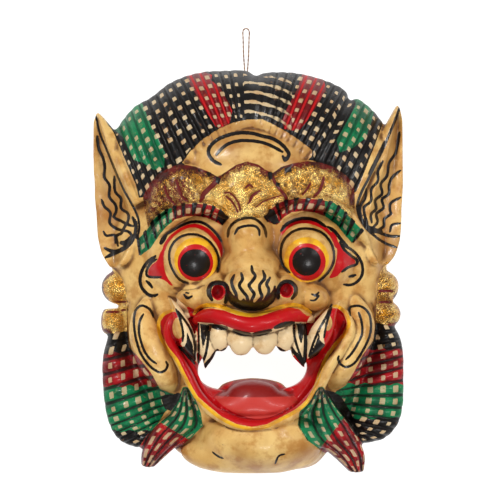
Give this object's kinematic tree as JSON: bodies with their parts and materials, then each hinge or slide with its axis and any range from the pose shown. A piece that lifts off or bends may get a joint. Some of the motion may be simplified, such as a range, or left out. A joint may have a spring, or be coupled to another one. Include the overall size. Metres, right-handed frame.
{
  "type": "barong mask",
  "caption": "Carved and painted wooden guardian mask with fluted hair, gilded diadem, bulging eyes, open tusked mouth, hollow back and a twine loop to hang it by.",
  "frame": {"origin": "middle of the flat sawn back, on the surface that the mask lies on", "axes": "+X to the viewer's right, +Y from the chin to the crown of the hair, +Z out of the face"},
  "size_m": [0.219, 0.3133, 0.096],
  "materials": {
    "painted_wood": "satin painted and gilded light wood",
    "twine": "twisted twine"
  },
  "bodies": {
    "root": {"mask": "painted_wood", "hanging_cord": "twine", "cord_knot": "twine"}
  },
  "joints": []
}
